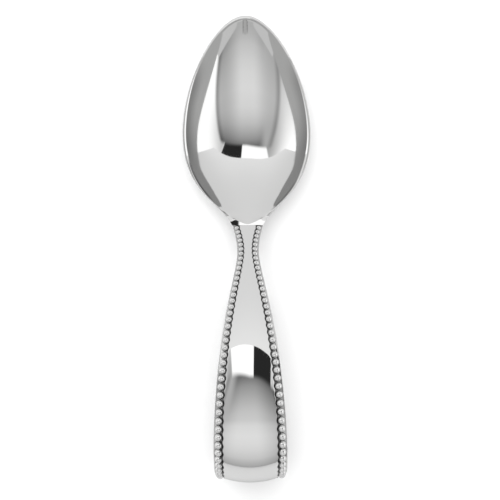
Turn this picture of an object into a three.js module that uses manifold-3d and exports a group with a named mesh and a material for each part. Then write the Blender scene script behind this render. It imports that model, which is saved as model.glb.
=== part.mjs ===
// Baby spoon: an oval bowl and a looped strip handle with a bead wire along each edge.
// Millimetres, +Z up, +Y towards the bowl's tip. The spoon lies on z = 0.
import * as THREE from "three";
import Module from "manifold-3d";

const kernel = await Module();
kernel.setup();

// Bowl, measured from the neck joint towards the tip
const BOWL_LENGTH = 45;
const BOWL_WIDTH = 27.7;
const WIDEST_FROM_NECK = 19.8;
const DEEPEST_FROM_NECK = 21.2;
const RIM_HEIGHT = 8.5;
const TIP_LIFT = 3.2;
const RIM_WIDTH = 0.75;
const NECK_RIM = 0.47;
const RIM_ROUNDING = 0.3;
const BOWL_WALL = 1;
const BOTTOM_RADIUS = 38;
const TIP_ANGLE = 39;
const TIP_RUN = 4.6;
const HEEL_ANGLE = 29;
const HEEL_RUN = 9.6;
const HOLLOW_FROM_NECK = 0.25;
const SHOULDER_LENGTH = 1.6;
const SHOULDER_RISE = 0.35;
const TIP_FULLNESS = 6.4;
const FLANK_FULLNESS = 11.3;
const SHOULDER_FULLNESS = 12.4;
const NECK_FULLNESS = 5.6;
const NECK_FLARE = 0.53;

// Handle strip, its side view
const LOOP_LENGTH = 55;
const LOOP_HEIGHT = 26;
const NECK_ANGLE = 33.5;
const NECK_RUN = 15;
const CREST_FROM_NECK = 40.8;
const CREST_RUN = 19.7;
const LOOP_END_HEIGHT = 13;
const LOOP_FOOT_FROM_NECK = 40;
const RETURN_TIP_FROM_NECK = 14.5;
const RETURN_TIP_HEIGHT = 4.6;
const RETURN_TIP_ANGLE = 20;

// Handle strip, its width along the strip
const JOINT_WIDTH = 6.7;
const WAIST_WIDTH = 4.58;
const WAIST_ALONG = 6.4;
const LOOP_WIDTH = 15.5;
const WIDEST_ALONG = 55;
const RETURN_TIP_RADIUS = 2.9;

// Handle strip, its section
const DOME_RADIUS = 12;
const NECK_THICKNESS = 2.4;
const STRIP_THICKNESS = 1.9;
const LEDGE_DROP = 0.6;
const LEDGE_THICKNESS = 0.9;
const LEDGE_MARGIN = 0.26;
const BEAD_CLEARANCE = 0.08;
const EDGE_EASE = 0.2;
const SIDE_LEAN = 0.25;

// Tongue under the bowl, the lap of the joint
const TONGUE_LENGTH = 9;
const TONGUE_WIDTH = 4.6;
const TONGUE_THICKNESS = 0.8;

// Bead wires, graduated from the neck to the loop
const FIRST_BEAD_ALONG = -0.12;
const BEAD_PITCH_NECK = 1.11;
const BEAD_PITCH_LOOP = 1.96;
const BEAD_SIZE_NECK = 1.06;
const BEAD_SIZE_LOOP = 1.7;
const BEAD_RISE = 1.12;
const BEAD_WEB = 0.36;
const GRADING_LENGTH = 47.3;
const RETURN_GRADE = 0.25;

// Solder film in the joints, and how much is worn flat where the spoon lies
const SOLDER_FILM = 0.1;
const REST_WEAR = 0.2;

const QUARTER_ROUND = 0.5523;
const toRadians = THREE.MathUtils.degToRad;

function point(x, y) {
  return new THREE.Vector2(x, y);
}

function bezier(a, b, c, d) {
  return new THREE.CubicBezierCurve(a, b, c, d);
}

// The second coordinate of a curve where its first coordinate has the given value
function heightOn(curve, first) {
  const rising = curve.v3.x > curve.v0.x;
  let low = 0;
  let high = 1;
  for (let step = 0; step < 40; step += 1) {
    const middle = (low + high) / 2;
    const before = curve.getPoint(middle).x < first;
    if (before === rising) {
      low = middle;
    } else {
      high = middle;
    }
  }
  return curve.getPoint((low + high) / 2).y;
}

// A closed solid from rings of equal count, with a fan over each end
function ringSolid(rings) {
  const count = rings[0].length;
  const corners = rings.flat();
  const faces = [];
  for (let ring = 0; ring + 1 < rings.length; ring += 1) {
    for (let k = 0; k < count; k += 1) {
      const next = (k + 1) % count;
      const a = ring * count + k;
      const b = ring * count + next;
      faces.push(a, b, b + count);
      faces.push(a, b + count, a + count);
    }
  }
  const capEnd = (ring, reversed) => {
    const centre = new THREE.Vector3();
    ring.forEach((corner) => centre.add(corner));
    centre.divideScalar(count);
    const hub = corners.length;
    corners.push(centre);
    const first = reversed ? 0 : (rings.length - 1) * count;
    for (let k = 0; k < count; k += 1) {
      const next = (k + 1) % count;
      if (reversed) {
        faces.push(hub, first + next, first + k);
      } else {
        faces.push(hub, first + k, first + next);
      }
    }
  };
  capEnd(rings[0], true);
  capEnd(rings[rings.length - 1], false);
  const mesh = new kernel.Mesh({
    numProp: 3,
    vertProperties: new Float32Array(corners.flatMap((corner) => corner.toArray())),
    triVerts: new Uint32Array(faces),
  });
  return new kernel.Manifold(mesh);
}

function meshOf(solid, name) {
  const data = solid.getMesh();
  const geometry = new THREE.BufferGeometry();
  geometry.setAttribute("position", new THREE.BufferAttribute(data.vertProperties, 3));
  geometry.setIndex(new THREE.BufferAttribute(data.triVerts, 1));
  geometry.computeVertexNormals();
  const silver = new THREE.MeshStandardMaterial({ color: 0xd9d9d8, roughness: 0.12, metalness: 1 });
  const mesh = new THREE.Mesh(geometry, silver);
  mesh.name = name;
  return mesh;
}

// Plan outline of one side of the bowl: the neck stub, the shoulder and flank, then the tip
const STUB_LENGTH = 4;
const half = BOWL_WIDTH / 2;
const jointHalf = JOINT_WIDTH / 2;

function outerSide(grow) {
  const joint = point(jointHalf + grow, 0);
  const stub = point(jointHalf + grow - NECK_FLARE * STUB_LENGTH, -STUB_LENGTH);
  const widest = point(half + grow, WIDEST_FROM_NECK);
  const tip = point(0, BOWL_LENGTH + grow);
  const flare = point(joint.x + NECK_FLARE * NECK_FULLNESS, NECK_FULLNESS);
  return [
    new THREE.LineCurve(point(0, -STUB_LENGTH), stub),
    new THREE.LineCurve(stub, joint),
    bezier(joint, flare, point(widest.x, widest.y - SHOULDER_FULLNESS), widest),
    bezier(widest, point(widest.x, widest.y + FLANK_FULLNESS), point(TIP_FULLNESS, tip.y), tip),
  ];
}

// Plan outline of one side of the hollow, a rim width inside the bowl, with a blunt point at the neck
function hollowSide() {
  const inner = half - RIM_WIDTH;
  const corner = point(jointHalf + NECK_FLARE * SHOULDER_LENGTH - NECK_RIM, SHOULDER_LENGTH);
  const end = point(0, HOLLOW_FROM_NECK);
  const widest = point(inner, WIDEST_FROM_NECK);
  const tip = point(0, BOWL_LENGTH - RIM_WIDTH);
  const flare = point(corner.x + NECK_FLARE * (NECK_FULLNESS - 1.2), NECK_FULLNESS - 1);
  const shoulder = bezier(end, point(0.9, end.y), point(corner.x - 1.2, corner.y - 0.3), corner);
  return [
    shoulder,
    bezier(corner, flare, point(inner, widest.y - SHOULDER_FULLNESS + 1.2), widest),
    bezier(widest, point(inner, widest.y + FLANK_FULLNESS), point(TIP_FULLNESS, tip.y), tip),
  ];
}

// Samples a side and mirrors it into a closed loop that starts and ends at the neck
function closedOutline(curves, counts) {
  const side = [];
  curves.forEach((curve, index) => {
    for (let k = 0; k < counts[index]; k += 1) {
      side.push(curve.getPoint(k / counts[index]));
    }
  });
  side.push(curves[curves.length - 1].getPoint(1));
  const mirrored = side.slice(1, -1).reverse();
  return side.concat(mirrored.map((p) => point(-p.x, p.y)));
}

// Half-width of an outline where its length has the given value
function halfWidthAt(curves, y) {
  for (const curve of curves) {
    const first = curve.getPoint(0).y;
    const last = curve.getPoint(1).y;
    if (last > first && y >= first && y <= last) {
      let low = 0;
      let high = 1;
      for (let step = 0; step < 40; step += 1) {
        const middle = (low + high) / 2;
        if (curve.getPoint(middle).y < y) {
          low = middle;
        } else {
          high = middle;
        }
      }
      return curve.getPoint((low + high) / 2).x;
    }
  }
  return 0;
}

// Reach of a curve's handle that gives it the wanted radius at its level end
function levelReach(radius, rise) {
  return Math.sqrt((2 / 3) * radius * rise);
}

// Bottom line of a bowl surface from a heel point to a tip point through the lowest point
function bottomLine(heel, tip, low, radius) {
  const slope = toRadians(HEEL_ANGLE);
  const lift = toRadians(TIP_ANGLE);
  const heelHandle = point(heel.x + HEEL_RUN * Math.cos(slope), heel.y - HEEL_RUN * Math.sin(slope));
  const tipHandle = point(tip.x - TIP_RUN * Math.cos(lift), tip.y - TIP_RUN * Math.sin(lift));
  const lowest = point(DEEPEST_FROM_NECK, low);
  const heelReach = levelReach(radius, heelHandle.y - low);
  const tipReach = levelReach(radius, tipHandle.y - low);
  const heelSide = bezier(heel, heelHandle, point(lowest.x - heelReach, low), lowest);
  const tipSide = bezier(lowest, point(lowest.x + tipReach, low), tipHandle, tip);
  return (y) => {
    if (y < heel.x) {
      return heel.y - (y - heel.x) * Math.tan(slope);
    }
    return heightOn(y < lowest.x ? heelSide : tipSide, y);
  };
}

// Direction of the handle where it leaves the neck, and the way into its thickness
const leave = toRadians(NECK_ANGLE);
const along = point(-Math.cos(leave), Math.sin(leave));
const inward = point(-Math.sin(leave), -Math.cos(leave));
const jointTop = point(0, RIM_HEIGHT + SHOULDER_RISE);

// Height of the rim along the bowl: it lifts towards the tip and rises over the shoulder to the joint
function rimHeight(y) {
  const past = Math.max(0, y - WIDEST_FROM_NECK) / (BOWL_LENGTH - WIDEST_FROM_NECK);
  const shoulder = Math.max(0, 1 - y / SHOULDER_LENGTH);
  return RIM_HEIGHT + TIP_LIFT * past * past + SHOULDER_RISE * shoulder;
}

// A surface that sags from the rim, less a drop, to its bottom line, as a parabola across
function saggingSurface(curves, bottom, drop) {
  return (x, y) => {
    const low = bottom(y);
    const width = halfWidthAt(curves, y);
    const share = width > 1e-6 ? Math.min(1, Math.abs(x) / width) : 1;
    return low + (rimHeight(y) - drop - low) * share * share;
  };
}

function outerSurface(grow) {
  const heel = jointTop.clone().addScaledVector(inward, NECK_THICKNESS + grow);
  const tip = point(BOWL_LENGTH + grow, rimHeight(BOWL_LENGTH) - RIM_ROUNDING);
  const bottom = bottomLine(heel, tip, -REST_WEAR - grow, BOTTOM_RADIUS + BOWL_WALL);
  return saggingSurface(outerSide(grow), bottom, RIM_ROUNDING);
}

function hollowSurface() {
  const heel = point(HOLLOW_FROM_NECK, rimHeight(HOLLOW_FROM_NECK));
  const tipAlong = BOWL_LENGTH - RIM_WIDTH;
  const tip = point(tipAlong, rimHeight(tipAlong));
  return saggingSurface(hollowSide(), bottomLine(heel, tip, BOWL_WALL, BOTTOM_RADIUS), 0);
}

// One ring of a bowl surface: the outline drawn in towards the lowest point by the given share
function surfaceRing(outline, share, surface) {
  return outline.map((p) => {
    const x = p.x * share;
    const y = DEEPEST_FROM_NECK + (p.y - DEEPEST_FROM_NECK) * share;
    return new THREE.Vector3(x, y, surface(x, y));
  });
}

const RING_SHARES = [0.06, 0.18, 0.3, 0.42, 0.54, 0.66, 0.78, 0.89, 1];
const OUTER_COUNTS = [2, 2, 10, 12];
const HOLLOW_COUNTS = [4, 10, 12];

function makeBowl() {
  const outer = closedOutline(outerSide(0), OUTER_COUNTS);
  const inner = closedOutline(hollowSide(), HOLLOW_COUNTS);
  const outside = outerSurface(0);
  const hollow = hollowSurface();
  const rings = RING_SHARES.map((share) => surfaceRing(inner, share, hollow));
  const crest = outer.map((p, k) => {
    const middle = p.clone().lerp(inner[k], 0.5);
    return new THREE.Vector3(middle.x, middle.y, rimHeight(middle.y) + RIM_ROUNDING / 3);
  });
  rings.push(crest);
  RING_SHARES.slice().reverse().forEach((share) => {
    rings.push(surfaceRing(outer, share, outside));
  });
  const body = ringSolid(rings.reverse());
  return body.trimByPlane([0, 1, 0], SOLDER_FILM).trimByPlane([0, 0, 1], 0);
}

// The bowl's outside as a full block, grown by a margin, for fitting the tongue to it
function bowlEnvelope(grow) {
  const outline = closedOutline(outerSide(grow), OUTER_COUNTS);
  const outside = outerSurface(grow);
  const rings = RING_SHARES.map((share) => surfaceRing(outline, share, outside));
  const lid = outline.map((p) => new THREE.Vector3(p.x, p.y, rimHeight(p.y) + 3));
  rings.push(lid);
  return ringSolid(rings);
}

// Side view of the strip's outer face, from the joint over the loop to the return's tip
function makeSpine() {
  const crest = point(-CREST_FROM_NECK, LOOP_HEIGHT);
  const end = point(-LOOP_LENGTH, LOOP_END_HEIGHT);
  const foot = point(-LOOP_FOOT_FROM_NECK, -REST_WEAR);
  const tip = point(-RETURN_TIP_FROM_NECK, RETURN_TIP_HEIGHT);
  const lift = toRadians(RETURN_TIP_ANGLE);
  const rise = jointTop.clone().addScaledVector(along, NECK_RUN);
  const drop = QUARTER_ROUND * (crest.y - end.y);
  const under = QUARTER_ROUND * (end.y - foot.y);
  const tipHandle = point(tip.x - 8 * Math.cos(lift), tip.y - 8 * Math.sin(lift));
  const spine = new THREE.CurvePath();
  spine.add(bezier(jointTop, rise, point(crest.x + CREST_RUN, crest.y), crest));
  const overHandle = point(crest.x + QUARTER_ROUND * (end.x - crest.x), crest.y);
  spine.add(bezier(crest, overHandle, point(end.x, end.y + drop), end));
  const footHandle = point(foot.x + QUARTER_ROUND * (end.x - foot.x), foot.y);
  spine.add(bezier(end, point(end.x, end.y - under), footHandle, foot));
  spine.add(bezier(foot, point(foot.x + 9, foot.y), tipHandle, tip));
  return spine;
}

const spine = makeSpine();
const spineLength = spine.getLength();
const loopEndAlong = spine.getCurveLengths()[1];
const tipStart = spineLength - RETURN_TIP_RADIUS;
const beadEnd = tipStart - 0.6;

// Half-width of the strip along its length
const neckTaper = bezier(
  point(0, jointHalf - 0.1),
  point(2, jointHalf - 0.54),
  point(WAIST_ALONG - 2.7, WAIST_WIDTH / 2),
  point(WAIST_ALONG, WAIST_WIDTH / 2),
);
const loopFlare = bezier(
  point(WAIST_ALONG, WAIST_WIDTH / 2),
  point(WAIST_ALONG + 5.7, WAIST_WIDTH / 2),
  point(WIDEST_ALONG - 26.5, LOOP_WIDTH / 2),
  point(WIDEST_ALONG, LOOP_WIDTH / 2),
);
const returnTaper = bezier(
  point(WIDEST_ALONG, LOOP_WIDTH / 2),
  point(WIDEST_ALONG + 24, LOOP_WIDTH / 2),
  point(tipStart - 15, LOOP_WIDTH / 2 - 1.3),
  point(tipStart, RETURN_TIP_RADIUS),
);

function stripHalf(s) {
  if (s < WAIST_ALONG) {
    return heightOn(neckTaper, s);
  }
  if (s < WIDEST_ALONG) {
    return heightOn(loopFlare, s);
  }
  if (s < tipStart) {
    return heightOn(returnTaper, s);
  }
  const past = (s - tipStart) / RETURN_TIP_RADIUS;
  return RETURN_TIP_RADIUS * Math.sqrt(Math.max(0, 1 - past * past));
}

// How far the beads have grown from the neck's size (0) to the loop's (1)
function grade(s) {
  if (s < loopEndAlong) {
    return THREE.MathUtils.clamp(s / GRADING_LENGTH, 0, 1);
  }
  return THREE.MathUtils.mapLinear(s, loopEndAlong, beadEnd, 1, RETURN_GRADE);
}

function beadPitch(s) {
  return THREE.MathUtils.lerp(BEAD_PITCH_NECK, BEAD_PITCH_LOOP, grade(s));
}

function beadSize(s) {
  return THREE.MathUtils.lerp(BEAD_SIZE_NECK, BEAD_SIZE_LOOP, grade(s));
}

function ledgeWidth(s) {
  return beadSize(s) + LEDGE_MARGIN + BEAD_CLEARANCE;
}

function domeDrop(x) {
  return (x * x) / (2 * DOME_RADIUS);
}

function ledgeLevel(s) {
  const panel = Math.max(0.3, stripHalf(s) - ledgeWidth(s));
  return -domeDrop(panel) - LEDGE_DROP;
}

// Thickness on the strip's middle, thick at the neck where the tongue leaves it
function stripDepth(s) {
  const share = THREE.MathUtils.smoothstep(s, 0, 16);
  return THREE.MathUtils.lerp(NECK_THICKNESS + TONGUE_THICKNESS, STRIP_THICKNESS, share);
}

// Turns a place across the strip and its height over the outer face into space
function onStrip(s, across, over) {
  const share = THREE.MathUtils.clamp(s / spineLength, 0, 1);
  const heading = spine.getTangent(share);
  const place = spine.getPoint(share).addScaledVector(heading, Math.min(0, s));
  return new THREE.Vector3(across, place.x + over * heading.y, place.y - over * heading.x);
}

// The right half of the strip's section, from its crown round to the middle of its back
function halfSection(s, beaded) {
  const wide = stripHalf(s);
  const ease = Math.min(EDGE_EASE, wide * 0.2);
  const panel = beaded ? Math.max(0.3, wide - ledgeWidth(s)) : wide * 0.8;
  const ledge = beaded ? ledgeLevel(s) : -domeDrop(wide);
  const inLedge = beaded ? ledge : -domeDrop(wide * 0.85);
  const backEdge = -domeDrop(panel) - LEDGE_DROP - LEDGE_THICKNESS;
  const foot = wide - Math.min(SIDE_LEAN, wide * 0.2);
  const depth = stripDepth(s);
  const back = (x) => -depth + (backEdge + depth) * (x / wide) ** 2;
  return [
    point(0, 0),
    point(panel * 0.4, -domeDrop(panel * 0.4)),
    point(panel * 0.75, -domeDrop(panel * 0.75)),
    point(panel, -domeDrop(panel)),
    point(beaded ? panel + 0.02 : wide * 0.85, inLedge),
    point(wide - ease, ledge),
    point(wide, ledge - ease),
    point(foot, backEdge + ease),
    point(foot - ease, back(foot - ease)),
    point(wide * 0.5, back(wide * 0.5)),
    point(0, back(0)),
  ];
}

function stripRing(s, beaded) {
  const right = halfSection(s, beaded);
  const left = right.slice(1, -1).reverse().map((p) => point(-p.x, p.y));
  const ring = right.concat(left).map((p) => onStrip(s, p.x, p.y));
  return ring.reverse();
}

// The tongue: a domed drop that thins and rounds off along the bowl's back
function makeTongue() {
  const surface = outerSurface(SOLDER_FILM);
  const root = -2.5;
  const nose = TONGUE_LENGTH * 0.45;
  const steps = 9;
  const acrossSteps = 6;
  const rings = [];
  for (let k = 0; k <= steps; k += 1) {
    const y = THREE.MathUtils.lerp(root, TONGUE_LENGTH, Math.sin((k / steps) * 1.5));
    const past = Math.max(0, (y - TONGUE_LENGTH + nose) / nose);
    const wide = (TONGUE_WIDTH / 2) * Math.sqrt(1 - past * past * 0.98);
    const thin = THREE.MathUtils.clamp(1 - (0.6 * y) / TONGUE_LENGTH, 0.4, 1);
    const thick = (TONGUE_THICKNESS - SOLDER_FILM) * (y < 0 ? 0.75 : thin);
    const ring = [];
    for (let side = 0; side <= acrossSteps; side += 1) {
      const share = (2 * side) / acrossSteps - 1;
      const x = wide * share;
      const bulge = 0.3 + 0.7 * Math.sqrt(1 - share * share);
      ring.push(new THREE.Vector3(x, y, surface(x, y) - thick * bulge));
    }
    const roof = surface(0, y) + 2;
    ring.push(new THREE.Vector3(wide, y, roof));
    ring.push(new THREE.Vector3(-wide, y, roof));
    rings.push(ring.reverse());
  }
  return ringSolid(rings).subtract(bowlEnvelope(SOLDER_FILM));
}

// The strip starts ahead of the joint and is cut off upright there
function makeHandle() {
  const rings = [];
  const lead = 2.6;
  const neckSteps = 20;
  for (let k = 0; k < neckSteps; k += 1) {
    rings.push(stripRing(THREE.MathUtils.lerp(-lead, NECK_RUN, k / neckSteps), true));
  }
  const bodySteps = 58;
  for (let k = 0; k <= bodySteps; k += 1) {
    rings.push(stripRing(THREE.MathUtils.lerp(NECK_RUN, beadEnd, k / bodySteps), true));
  }
  const tipSteps = 6;
  for (let k = 0; k <= tipSteps; k += 1) {
    const turn = (k / tipSteps) * 1.4;
    rings.push(stripRing(tipStart + RETURN_TIP_RADIUS * Math.sin(turn) - 0.3 * Math.cos(turn), false));
  }
  const strip = ringSolid(rings).trimByPlane([0, -1, 0], 0);
  return strip.add(makeTongue()).trimByPlane([0, 0, 1], 0);
}

// Stations of a bead wire: the web before each bead, its flanks and its middle, with their sizes
function beadStations() {
  const stations = [];
  let s = FIRST_BEAD_ALONG;
  while (s + beadPitch(s) / 2 < beadEnd) {
    const radius = beadSize(s) / 2;
    const flank = 0.64;
    const thick = radius * Math.sqrt(1 - flank * flank);
    stations.push({ s: s - beadPitch(s) / 2, radius: radius * BEAD_WEB });
    stations.push({ s: s - radius * flank, radius: thick });
    stations.push({ s, radius });
    stations.push({ s: s + radius * flank, radius: thick });
    s += beadPitch(s + beadPitch(s) / 2);
  }
  const last = stations[stations.length - 1];
  stations.push({ s: last.s + last.radius * 0.5, radius: last.radius * BEAD_WEB });
  return stations;
}

// A flat-backed bead wire in one ledge, cut off at the joint, side +1 for the right and -1 for the left
function makeBeadWire(side) {
  const arcSteps = 6;
  const rings = beadStations().map((station) => {
    const middle = stripHalf(station.s) - LEDGE_MARGIN - beadSize(station.s) / 2;
    const seat = ledgeLevel(station.s) + SOLDER_FILM;
    const ring = [];
    for (let k = 0; k <= arcSteps; k += 1) {
      const turn = (Math.PI * k) / arcSteps;
      const across = middle + station.radius * Math.cos(turn);
      const over = seat + station.radius * BEAD_RISE * Math.sin(turn);
      ring.push(onStrip(station.s, side * across, over));
    }
    return side > 0 ? ring : ring.reverse();
  });
  return ringSolid(rings).trimByPlane([0, -1, 0], 0);
}

const spoon = new THREE.Group();
spoon.name = "baby_spoon";
spoon.add(meshOf(makeBowl(), "bowl"));
spoon.add(meshOf(makeHandle(), "handle"));
spoon.add(meshOf(makeBeadWire(-1), "bead_wire_left"));
spoon.add(meshOf(makeBeadWire(1), "bead_wire_right"));
spoon.position.y = (LOOP_LENGTH - BOWL_LENGTH) / 2;

export default spoon;
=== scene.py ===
"""Baby spoon: an oval bowl and a looped strip handle with a bead wire along each edge, in polished silver.

Sizes are in millimetres and are measured from the neck joint, with +Y towards the bowl's tip.
Meshes are made in metres, in the frame of the CAD model.
"""

import math

import bmesh
import bpy
import numpy as np
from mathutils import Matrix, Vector


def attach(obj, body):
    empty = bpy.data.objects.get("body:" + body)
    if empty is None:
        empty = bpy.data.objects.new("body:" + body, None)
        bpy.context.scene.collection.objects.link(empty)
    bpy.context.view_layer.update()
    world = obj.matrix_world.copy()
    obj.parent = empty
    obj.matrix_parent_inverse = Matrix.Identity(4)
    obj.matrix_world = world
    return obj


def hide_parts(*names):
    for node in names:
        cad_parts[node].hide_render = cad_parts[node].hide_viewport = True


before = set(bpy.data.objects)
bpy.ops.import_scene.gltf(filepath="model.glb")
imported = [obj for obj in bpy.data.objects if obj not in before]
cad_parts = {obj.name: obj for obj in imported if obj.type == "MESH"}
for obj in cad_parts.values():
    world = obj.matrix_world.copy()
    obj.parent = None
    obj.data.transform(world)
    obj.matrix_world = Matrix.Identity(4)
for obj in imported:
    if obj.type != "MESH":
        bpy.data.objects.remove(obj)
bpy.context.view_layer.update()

# Sizes

# Bowl
BOWL_LENGTH = 45.0
BOWL_WIDTH = 27.7
WIDEST_FROM_NECK = 19.8
DEEPEST_FROM_NECK = 21.2
RIM_HEIGHT = 8.5
TIP_LIFT = 3.2
RIM_WIDTH = 0.75
NECK_RIM = 0.47
RIM_ROUNDING = 0.3
LIP_SINK = 0.15
LIP_FORMING = (1.5, 6.5)
LIP_SLOPING = (31.0, 38.0)
BOWL_WALL = 1.0
BOTTOM_RADIUS = 38.0
TIP_ANGLE = math.radians(44)
TIP_RUN = 5.4
HEEL_ANGLE = math.radians(29)
HEEL_RUN = 9.6
HOLLOW_FROM_NECK = 0.25
SHOULDER_LENGTH = 1.9
SHOULDER_RISE = 0.35
SHOULDER_DISH = 21.5
SHOULDER_SINK = 0.12
SHOULDER_STEEPNESS = 0.22
STEEPNESS_COMING = (0.5, 5.0)
STEEPNESS_GOING = (6.0, 14.0)
FLOOR_SINK = 1.2
FLAT_FLOOR_COMING = (2.0, 11.0)
FLAT_FLOOR_GOING = (11.0, 19.0)
TIP_FULLNESS = 6.4
FLANK_FULLNESS = 11.3
SHOULDER_FULLNESS = 12.4
NECK_FULLNESS = 5.6
NECK_FLARE = 0.53
HOLLOW_TIGHTER = 1.2
HOLLOW_FLARE_BACK = 1.0
STUB_LENGTH = 4.0
JOINT_GAP = 0.02

# Dark on the bowl, from 0 to 1: an even wear over it all, and painted shade on the hollow's sides and
# beside the lip, with where the shade comes and goes along the bowl
BOWL_WEAR = 0.065
SIDE_DARK_LEFT = 0.55
SIDE_DARK_RIGHT = 0.4
SIDE_DARK_COMING = (10.0, 18.0)
SIDE_DARK_GOING = (30.0, 37.0)
SIDE_DARK_SHARES = (0.84, 1.0)
LEFT_CORNER_COMING = (4.5, 7.0)
LEFT_CORNER_GOING = (12.5, 15.5)
RIGHT_CORNER_DARK = 0.6
RIGHT_CORNER_COMING = (2.5, 4.0)
RIGHT_CORNER_GOING = (8.0, 10.0)

# Handle strip, side view
LOOP_LENGTH = 55.0
LOOP_HEIGHT = 25.998
NECK_ANGLE = math.radians(33.5)
NECK_RUN = 15.0
CREST_FROM_NECK = 40.8
CREST_RUN = 19.7
LOOP_END_HEIGHT = 13.0
LOOP_FOOT_FROM_NECK = 40.0
FOOT_RUN = 9.0
RETURN_TIP_FROM_NECK = 14.5
RETURN_TIP_HEIGHT = 4.6
RETURN_TIP_ANGLE = math.radians(20)
RETURN_TIP_RUN = 8.0

# Handle strip, width and section
JOINT_WIDTH = 6.7
JOINT_STEP = 0.1
JOINT_RUN = 2.0
JOINT_DRAW = 0.54
WAIST_WIDTH = 4.58
WAIST_ALONG = 6.4
WAIST_RUN_TO_JOINT = 2.7
WAIST_RUN_TO_LOOP = 5.7
LOOP_WIDTH = 15.5
WIDEST_ALONG = 55.0
WIDEST_RUN_TO_WAIST = 26.5
WIDEST_RUN_TO_TIP = 24.0
RETURN_TIP_RADIUS = 2.9
RETURN_NARROWING = 1.3
RETURN_NARROWING_RUN = 15.0
DOME_RADIUS = 10.4
LOOP_DOME_RADIUS = 18.0
LOOP_DOME_COMING = (34.0, 54.0)
LOOP_DOME_GOING = (68.0, 84.0)
LEDGE_RADIUS = 12.0
NECK_THICKNESS = 2.4
NECK_THINNING = (0.0, 16.0)
STRIP_THICKNESS = 1.9
LEDGE_DROP = 0.6
LEDGE_THICKNESS = 0.9
PANEL_INSET_NECK = 1.37
PANEL_INSET_LOOP = 2.0
LEAST_PANEL = 0.3
PLAIN_PANEL_SHARE = 0.8
PANEL_EASE = 0.08
LARGEST_EASE_SHARE = 0.3
PANEL_WALL_LEAN = 0.05
LEDGE_ROOT_ROUND = 0.1
BEVEL_WIDTH = 0.34
BEVEL_DROP = 0.12
BEVEL_ROUND = 0.06
BEVEL_TILT = 0.02
SCALLOP_NECK = 0.06
SCALLOP_LOOP = 0.11
EDGE_EASE = 0.2
SIDE_LEAN = 0.25
LARGEST_EDGE_SHARE = 0.2
LEAST_SIDE = 0.05

# Painted shade on the strip, from 0 to 1, in the ledge beside the panel and along the outer edge
LEDGE_DARK_OUTWARDS = (0.9, 0.6, 0.4)
EDGE_DARK_NECK = 0.5
EDGE_DARK_LOOP = 0.2
EDGE_DARK_FADING = (5.0, 25.0)

# Tongue under the bowl
TONGUE_LENGTH = 9.0
TONGUE_WIDTH = 4.6
TONGUE_THICKNESS = 0.8
TONGUE_ROOT_BACK = 2.5
TONGUE_ROOT_SHARE = 0.75
TONGUE_NOSE_SHARE = 0.45
TONGUE_THINNING = 0.6
NOSE_NARROWING = 0.995
NOSE_THINNING = 0.9
TONGUE_GAP = 0.05
TONGUE_SINK = 0.25
SOLDER_FILM = 0.1

# Bead wires
FIRST_BEAD_ALONG = 0.35
BEAD_PITCH_NECK = 1.07
BEAD_PITCH_LOOP = 2.05
BEAD_SIZE_NECK = 1.2
BEAD_SIZE_LOOP = 1.86
BEAD_INSET_NECK = 0.88
BEAD_INSET_LOOP = 1.08
BEAD_RISE = 1.25
BEAD_BACK = -0.12
BEAD_WEB = 0.36
BEAD_SEGMENTS = 12
BEAD_RINGS = 8
BEAD_END_GAP = 0.6
GRADING_LENGTH = 53.1
RETURN_GRADE = 0.25

REST_WEAR = 0.2
QUARTER_ROUND = 0.5523
MM = 0.001
ROW_SHIFT = (LOOP_LENGTH - BOWL_LENGTH) / 2


# Drawing lines


def curve(start, pull, push, end, count, first=0.0, last=1.0):
    """Points on a cubic curve from start to end, or on a share of it."""
    t = np.linspace(first, last, count)[:, None]
    start, pull, push, end = (np.asarray(p, dtype=float) for p in (start, pull, push, end))
    return (1 - t) ** 3 * start + 3 * (1 - t) ** 2 * t * pull + 3 * (1 - t) * t**2 * push + t**3 * end


def line(start, end, count):
    return np.linspace(np.asarray(start, dtype=float), np.asarray(end, dtype=float), count)


def joined(*spans):
    """Spans that share their end points, as one run of points."""
    return np.vstack([spans[0]] + [span[1:] for span in spans[1:]])


def lookup(points):
    """The second value of a run of points where its first, rising value is given."""
    rising = np.maximum.accumulate(points[:, 0])
    return lambda first: np.interp(first, rising, points[:, 1])


def smooth_share(value, low, high):
    """0 up to a low value and 1 from a high one, with a smooth rise between them."""
    share = np.clip((value - low) / (high - low), 0.0, 1.0)
    return share * share * (3 - 2 * share)


def comes_and_goes(value, coming, going):
    """A share that rises from 0 to 1 over one stretch and falls back to 0 over another."""
    return smooth_share(value, *coming) * (1 - smooth_share(value, *going))


# Meshes


def as_object(name, corners, faces, edges=()):
    """A smooth-shaded object at the origin, from millimetres measured at the neck joint."""
    placed = (np.asarray(corners) + np.array([0.0, ROW_SHIFT, 0.0])) * MM
    mesh = bpy.data.meshes.new(name)
    mesh.from_pydata(placed.tolist(), edges, faces)
    mesh.shade_smooth()
    piece = bpy.data.objects.new(name, mesh)
    bpy.context.scene.collection.objects.link(piece)
    return piece


def skin(rings, first_point=None, last_point=None):
    """Corners and faces of a closed skin over rings of equal count.

    Each end closes on its own point, or on a flat cap where no point is given.
    """
    count = len(rings[0])
    corners = np.vstack(rings)
    faces = []
    for ring in range(len(rings) - 1):
        for k in range(count):
            a = ring * count + k
            b = ring * count + (k + 1) % count
            faces.append((a, b, b + count, a + count))
    last = (len(rings) - 1) * count
    if first_point is None:
        faces.append(tuple(range(count - 1, -1, -1)))
    else:
        hub = len(corners)
        corners = np.vstack([corners, first_point])
        faces.extend((hub, (k + 1) % count, k) for k in range(count))
    if last_point is None:
        faces.append(tuple(range(last, last + count)))
    else:
        hub = len(corners)
        corners = np.vstack([corners, last_point])
        faces.extend((hub, last + k, last + (k + 1) % count) for k in range(count))
    return corners, faces


def face_outwards(piece):
    """Turns every face of a closed skin to the outside."""
    work = bmesh.new()
    work.from_mesh(piece.data)
    bmesh.ops.recalc_face_normals(work, faces=work.faces)
    work.to_mesh(piece.data)
    work.free()


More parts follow.
